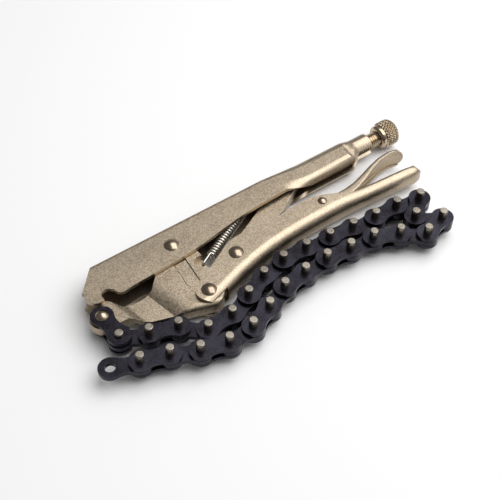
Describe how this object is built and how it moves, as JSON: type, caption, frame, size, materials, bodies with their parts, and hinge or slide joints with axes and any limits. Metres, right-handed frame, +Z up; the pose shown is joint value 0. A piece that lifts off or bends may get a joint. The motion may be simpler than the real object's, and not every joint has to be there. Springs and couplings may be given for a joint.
{
  "type": "locking chain pliers",
  "caption": "Locking pliers with two pressed handles, a forged moving jaw that carries a long roller-type chain, a hook notch for the chain, a release lever and a knurled adjusting screw.",
  "frame": {"origin": "middle of the bounding box at the bottom, with the tool lying on its side", "axes": "+X from the jaw's nose to the adjusting knob, +Y from the chain to the upper handle's spine, +Z up through the rivets"},
  "size_m": [0.2442, 0.0956, 0.0182],
  "materials": {
    "pressed_steel": "satin nickel plate",
    "forged_steel": "satin nickel plate on a forging",
    "rivet_steel": "polished",
    "screw_steel": "bright plated",
    "spring_steel": "drawn wire",
    "chain_plate_steel": "blued and oiled",
    "chain_pin_steel": "ground ends"
  },
  "bodies": {
    "upper_handle": {"upper_handle": "pressed_steel", "jaw_pivot_rivet": "rivet_steel", "tension_spring": "spring_steel"},
    "moving_jaw": {"moving_jaw": "forged_steel"},
    "lower_handle": {"lower_handle": "pressed_steel", "handle_pivot_rivet": "rivet_steel", "toggle_rivet": "rivet_steel", "lever_rivet": "rivet_steel"},
    "toggle_link": {"toggle_link": "pressed_steel"},
    "release_lever": {"release_lever": "pressed_steel"},
    "adjusting_screw": {"adjusting_screw": "screw_steel"},
    "knurled_knob": {"knurled_knob": "screw_steel"},
    "chain_link_01": {"pin_link_plates_01": "chain_plate_steel", "chain_pins_01": "chain_pin_steel", "chain_anchor_rivet": "rivet_steel", "anchor_spacers": "chain_pin_steel"},
    "chain_link_02": {"inner_link_01": "chain_plate_steel"},
    "chain_link_03": {"pin_link_plates_02": "chain_plate_steel", "chain_pins_02": "chain_pin_steel"},
    "chain_link_04": {"inner_link_02": "chain_plate_steel"},
    "chain_link_05": {"pin_link_plates_03": "chain_plate_steel", "chain_pins_03": "chain_pin_steel"},
    "chain_link_06": {"inner_link_03": "chain_plate_steel"},
    "chain_link_07": {"pin_link_plates_04": "chain_plate_steel", "chain_pins_04": "chain_pin_steel"},
    "chain_link_08": {"inner_link_04": "chain_plate_steel"},
    "chain_link_09": {"pin_link_plates_05": "chain_plate_steel", "chain_pins_05": "chain_pin_steel"},
    "chain_link_10": {"inner_link_05": "chain_plate_steel"},
    "chain_link_11": {"pin_link_plates_06": "chain_plate_steel", "chain_pins_06": "chain_pin_steel"},
    "chain_link_12": {"inner_link_06": "chain_plate_steel"},
    "chain_link_13": {"pin_link_plates_07": "chain_plate_steel", "chain_pins_07": "chain_pin_steel"},
    "chain_link_14": {"inner_link_07": "chain_plate_steel"},
    "chain_link_15": {"pin_link_plates_08": "chain_plate_steel", "chain_pins_08": "chain_pin_steel"},
    "chain_link_16": {"inner_link_08": "chain_plate_steel"},
    "chain_link_17": {"pin_link_plates_09": "chain_plate_steel", "chain_pins_09": "chain_pin_steel"},
    "chain_link_18": {"inner_link_09": "chain_plate_steel"},
    "chain_link_19": {"pin_link_plates_10": "chain_plate_steel", "chain_pins_10": "chain_pin_steel"},
    "chain_link_20": {"inner_link_10": "chain_plate_steel"},
    "chain_link_21": {"pin_link_plates_11": "chain_plate_steel", "chain_pins_11": "chain_pin_steel"},
    "chain_link_22": {"inner_link_11": "chain_plate_steel"},
    "chain_link_23": {"pin_link_plates_12": "chain_plate_steel", "chain_pins_12": "chain_pin_steel"},
    "chain_link_24": {"inner_link_12": "chain_plate_steel"},
    "chain_link_25": {"pin_link_plates_13": "chain_plate_steel", "chain_pins_13": "chain_pin_steel"},
    "chain_link_26": {"inner_link_13": "chain_plate_steel"},
    "chain_link_27": {"pin_link_plates_14": "chain_plate_steel", "chain_pins_14": "chain_pin_steel"},
    "chain_link_28": {"inner_link_14": "chain_plate_steel"},
    "chain_link_29": {"pin_link_plates_15": "chain_plate_steel", "chain_pins_15": "chain_pin_steel"},
    "chain_link_30": {"inner_link_15": "chain_plate_steel"}
  },
  "joints": [
    {"name": "handle_swing", "type": "hinge", "parent": "moving_jaw", "child": "lower_handle", "pos_m": [-0.04806, -0.0056, 0.0091], "axis": [0, 0, 1], "range_deg": [-30, 0]},
    {"name": "jaw_pivot", "type": "hinge", "parent": "upper_handle", "child": "moving_jaw", "pos_m": [-0.04747, 0.0332, 0.0091], "axis": [0, 0, 1], "range_deg": [0, 5.35], "deforming": ["tension_spring"]},
    {"name": "toggle_pivot", "type": "hinge", "parent": "lower_handle", "child": "toggle_link", "pos_m": [-0.02087, 0.0076, 0.0091], "axis": [0, 0, 1], "range_deg": [0, 36.16]},
    {"name": "lever_pivot", "type": "hinge", "parent": "lower_handle", "child": "release_lever", "pos_m": [0.04303, 0.0108, 0.0091], "axis": [0, 0, 1], "range_deg": [-6, 0]},
    {"name": "screw_travel", "type": "slide", "parent": "upper_handle", "child": "adjusting_screw", "axis": [1, 0, 0], "range_m": [0, 0.00317]},
    {"name": "knob_turn", "type": "hinge", "parent": "adjusting_screw", "child": "knurled_knob", "pos_m": [0.10103, 0.0392, 0.0091], "axis": [1, 0, 0], "range_deg": [0, 720.72]},
    {"name": "chain_anchor", "type": "hinge", "parent": "moving_jaw", "child": "chain_link_01", "pos_m": [-0.10347, 0.0144, 0.0091], "axis": [0, 0, 1], "range_deg": [-33.1, 0]},
    {"name": "chain_pin_01", "type": "hinge", "parent": "chain_link_01", "child": "chain_link_02", "pos_m": [-0.10222, -0.00143, 0.0091], "axis": [0, 0, 1], "range_deg": [-40, 0]},
    {"name": "chain_pin_02", "type": "hinge", "parent": "chain_link_02", "child": "chain_link_03", "pos_m": [-0.08814, -0.00876, 0.0091], "axis": [0, 0, 1], "range_deg": [-12, 0]},
    {"name": "chain_pin_03", "type": "hinge", "parent": "chain_link_03", "child": "chain_link_04", "pos_m": [-0.07317, -0.01406, 0.0091], "axis": [0, 0, 1], "range_deg": [-6, 0]},
    {"name": "chain_pin_04", "type": "hinge", "parent": "chain_link_04", "child": "chain_link_05", "pos_m": [-0.06138, -0.02468, 0.0091], "axis": [0, 0, 1], "range_deg": [-3, 0]},
    {"name": "chain_pin_05", "type": "hinge", "parent": "chain_link_05", "child": "chain_link_06", "pos_m": [-0.04551, -0.02413, 0.0091], "axis": [0, 0, 1], "range_deg": [-4, 0]},
    {"name": "chain_pin_06", "type": "hinge", "parent": "chain_link_06", "child": "chain_link_07", "pos_m": [-0.03069, -0.01844, 0.0091], "axis": [0, 0, 1], "range_deg": [-4, 0]},
    {"name": "chain_pin_07", "type": "hinge", "parent": "chain_link_07", "child": "chain_link_08", "pos_m": [-0.01602, -0.01236, 0.0091], "axis": [0, 0, 1], "range_deg": [-4, 0]},
    {"name": "chain_pin_08", "type": "hinge", "parent": "chain_link_08", "child": "chain_link_09", "pos_m": [-0.00044, -0.00933, 0.0091], "axis": [0, 0, 1], "range_deg": [0, 0.5]},
    {"name": "chain_pin_09", "type": "hinge", "parent": "chain_link_09", "child": "chain_link_10", "pos_m": [0.01543, -0.00975, 0.0091], "axis": [0, 0, 1], "range_deg": [0, 0.5]},
    {"name": "chain_pin_10", "type": "hinge", "parent": "chain_link_10", "child": "chain_link_11", "pos_m": [0.03123, -0.01127, 0.0091], "axis": [0, 0, 1], "range_deg": [0, 0.5]},
    {"name": "chain_pin_11", "type": "hinge", "parent": "chain_link_11", "child": "chain_link_12", "pos_m": [0.04702, -0.01293, 0.0091], "axis": [0, 0, 1], "range_deg": [0, 0.8]},
    {"name": "chain_pin_12", "type": "hinge", "parent": "chain_link_12", "child": "chain_link_13", "pos_m": [0.06282, -0.01445, 0.0091], "axis": [0, 0, 1], "range_deg": [0, 1]},
    {"name": "chain_pin_13", "type": "hinge", "parent": "chain_link_13", "child": "chain_link_14", "pos_m": [0.07869, -0.01473, 0.0091], "axis": [0, 0, 1], "range_deg": [0, 2]},
    {"name": "chain_pin_14", "type": "hinge", "parent": "chain_link_14", "child": "chain_link_15", "pos_m": [0.09428, -0.01776, 0.0091], "axis": [0, 0, 1], "range_deg": [0, 60]},
    {"name": "chain_pin_15", "type": "hinge", "parent": "chain_link_15", "child": "chain_link_16", "pos_m": [0.08194, -0.02775, 0.0091], "axis": [0, 0, 1], "range_deg": [0, 15]},
    {"name": "chain_pin_16", "type": "hinge", "parent": "chain_link_16", "child": "chain_link_17", "pos_m": [0.0947, -0.03719, 0.0091], "axis": [0, 0, 1], "range_deg": [0, 8]},
    {"name": "chain_pin_17", "type": "hinge", "parent": "chain_link_17", "child": "chain_link_18", "pos_m": [0.07937, -0.0413, 0.0091], "axis": [0, 0, 1], "range_deg": [0, 8]},
    {"name": "chain_pin_18", "type": "hinge", "parent": "chain_link_18", "child": "chain_link_19", "pos_m": [0.06636, -0.03219, 0.0091], "axis": [0, 0, 1], "range_deg": [0, 8]},
    {"name": "chain_pin_19", "type": "hinge", "parent": "chain_link_19", "child": "chain_link_20", "pos_m": [0.05186, -0.02574, 0.0091], "axis": [0, 0, 1], "range_deg": [0, 8]},
    {"name": "chain_pin_20", "type": "hinge", "parent": "chain_link_20", "child": "chain_link_21", "pos_m": [0.03606, -0.02421, 0.0091], "axis": [0, 0, 1], "range_deg": [0, 8]},
    {"name": "chain_pin_21", "type": "hinge", "parent": "chain_link_21", "child": "chain_link_22", "pos_m": [0.02027, -0.02255, 0.0091], "axis": [0, 0, 1], "range_deg": [0, 8]},
    {"name": "chain_pin_22", "type": "hinge", "parent": "chain_link_22", "child": "chain_link_23", "pos_m": [0.00442, -0.02339, 0.0091], "axis": [0, 0, 1], "range_deg": [0, 8.1]},
    {"name": "chain_pin_23", "type": "hinge", "parent": "chain_link_23", "child": "chain_link_24", "pos_m": [-0.01134, -0.02532, 0.0091], "axis": [0, 0, 1], "range_deg": [0, 8.1]},
    {"name": "chain_pin_24", "type": "hinge", "parent": "chain_link_24", "child": "chain_link_25", "pos_m": [-0.02606, -0.03127, 0.0091], "axis": [0, 0, 1], "range_deg": [0, 8.1]},
    {"name": "chain_pin_25", "type": "hinge", "parent": "chain_link_25", "child": "chain_link_26", "pos_m": [-0.04093, -0.03683, 0.0091], "axis": [0, 0, 1], "range_deg": [0, 15]},
    {"name": "chain_pin_26", "type": "hinge", "parent": "chain_link_26", "child": "chain_link_27", "pos_m": [-0.05678, -0.03766, 0.0091], "axis": [0, 0, 1], "range_deg": [0, 15]},
    {"name": "chain_pin_27", "type": "hinge", "parent": "chain_link_27", "child": "chain_link_28", "pos_m": [-0.07204, -0.03328, 0.0091], "axis": [0, 0, 1], "range_deg": [0, 15]},
    {"name": "chain_pin_28", "type": "hinge", "parent": "chain_link_28", "child": "chain_link_29", "pos_m": [-0.08612, -0.02595, 0.0091], "axis": [0, 0, 1], "range_deg": [0, 15]},
    {"name": "chain_pin_29", "type": "hinge", "parent": "chain_link_29", "child": "chain_link_30", "pos_m": [-0.10113, -0.02078, 0.0091], "axis": [0, 0, 1], "range_deg": [0, 15]}
  ],
  "couplings": [
    {"joint": "jaw_pivot", "follows": "handle_swing", "ratio": -0.175},
    {"joint": "toggle_pivot", "follows": "handle_swing", "ratio": -1.202},
    {"joint": "chain_anchor", "follows": "handle_swing", "ratio": 1.1},
    {"joint": "knob_turn", "follows": "screw_travel", "rad_per_m": 3957.9},
    {"joint": "chain_pin_24", "follows": "chain_pin_05", "ratio": -2},
    {"joint": "chain_pin_23", "follows": "chain_pin_06", "ratio": -2},
    {"joint": "chain_pin_22", "follows": "chain_pin_07", "ratio": -2}
  ]
}
